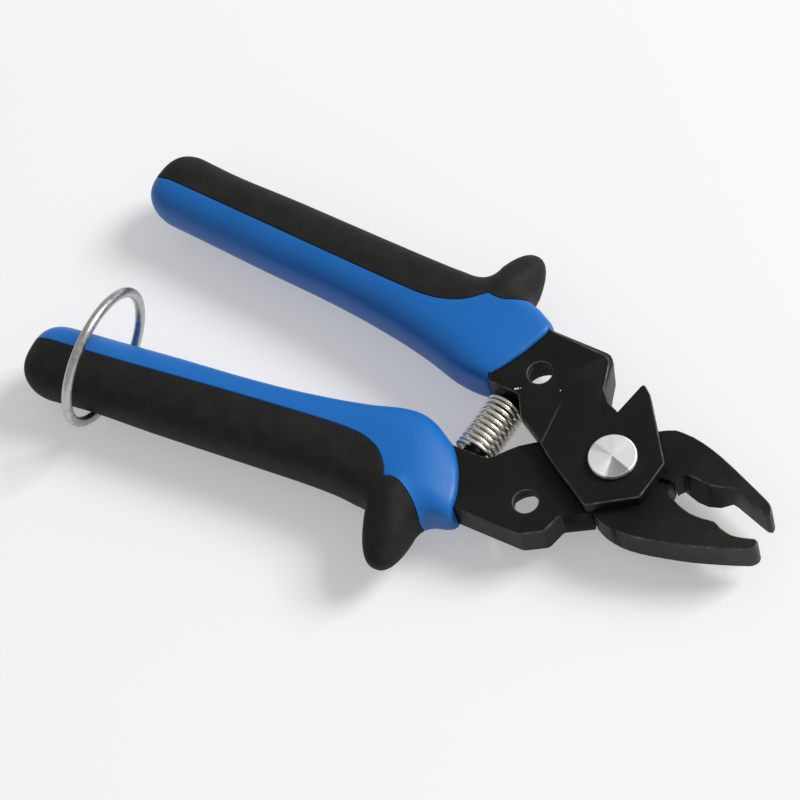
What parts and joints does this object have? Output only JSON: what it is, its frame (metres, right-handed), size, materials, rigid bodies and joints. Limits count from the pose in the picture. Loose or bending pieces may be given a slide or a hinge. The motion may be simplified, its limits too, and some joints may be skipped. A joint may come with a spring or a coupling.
{
  "type": "spring-open pliers",
  "caption": "Spring-open single-pivot pliers with round-mouthed jaws, a boss plate with a V notch, two-component grips with finger guards, and a loose keeper ring.",
  "frame": {"origin": "on the pivot axis, at the rear face of the pivot bolt and nut, which is the level of the table that the tool lies on", "axes": "+X towards the jaw tips, +Y towards the upper handle, +Z along the pivot axis towards the pivot head"},
  "size_m": [0.209, 0.0989, 0.0399],
  "materials": {
    "black_steel": "black oxide on forged steel, satin",
    "bright_steel": "turned bright steel",
    "spring_steel": "bright nickel-plated spring wire",
    "blue_plastic": "satin moulded hard plastic",
    "black_rubber": "matte soft-touch elastomer, fine grain"
  },
  "bodies": {
    "lower_half": {"lower_lever": "black_steel", "pivot_bolt": "bright_steel", "pivot_nut": "black_steel", "pivot_washer": "bright_steel", "lower_spring_peg": "black_steel", "return_spring": "spring_steel", "lower_sleeve": "blue_plastic", "lower_grip_cover": "black_rubber"},
    "upper_half": {"upper_lever": "black_steel", "upper_spring_peg": "black_steel", "upper_sleeve": "blue_plastic", "upper_grip_cover": "black_rubber"},
    "ring": {"keeper_ring": "bright_steel"}
  },
  "joints": [
    {"name": "pivot", "type": "hinge", "parent": "lower_half", "child": "upper_half", "pos_m": [0, 0, 0], "axis": [0, 0, 1], "range_deg": [0, 9], "stiffness_Nm_per_rad": 1.9, "springref_deg": -4.58, "deforming": ["return_spring"]},
    {"name": "ring_slide", "type": "slide", "parent": "lower_half", "child": "ring", "axis": [0.9952, 0.0976, 0], "range_m": [-0.005, 0.01]}
  ]
}
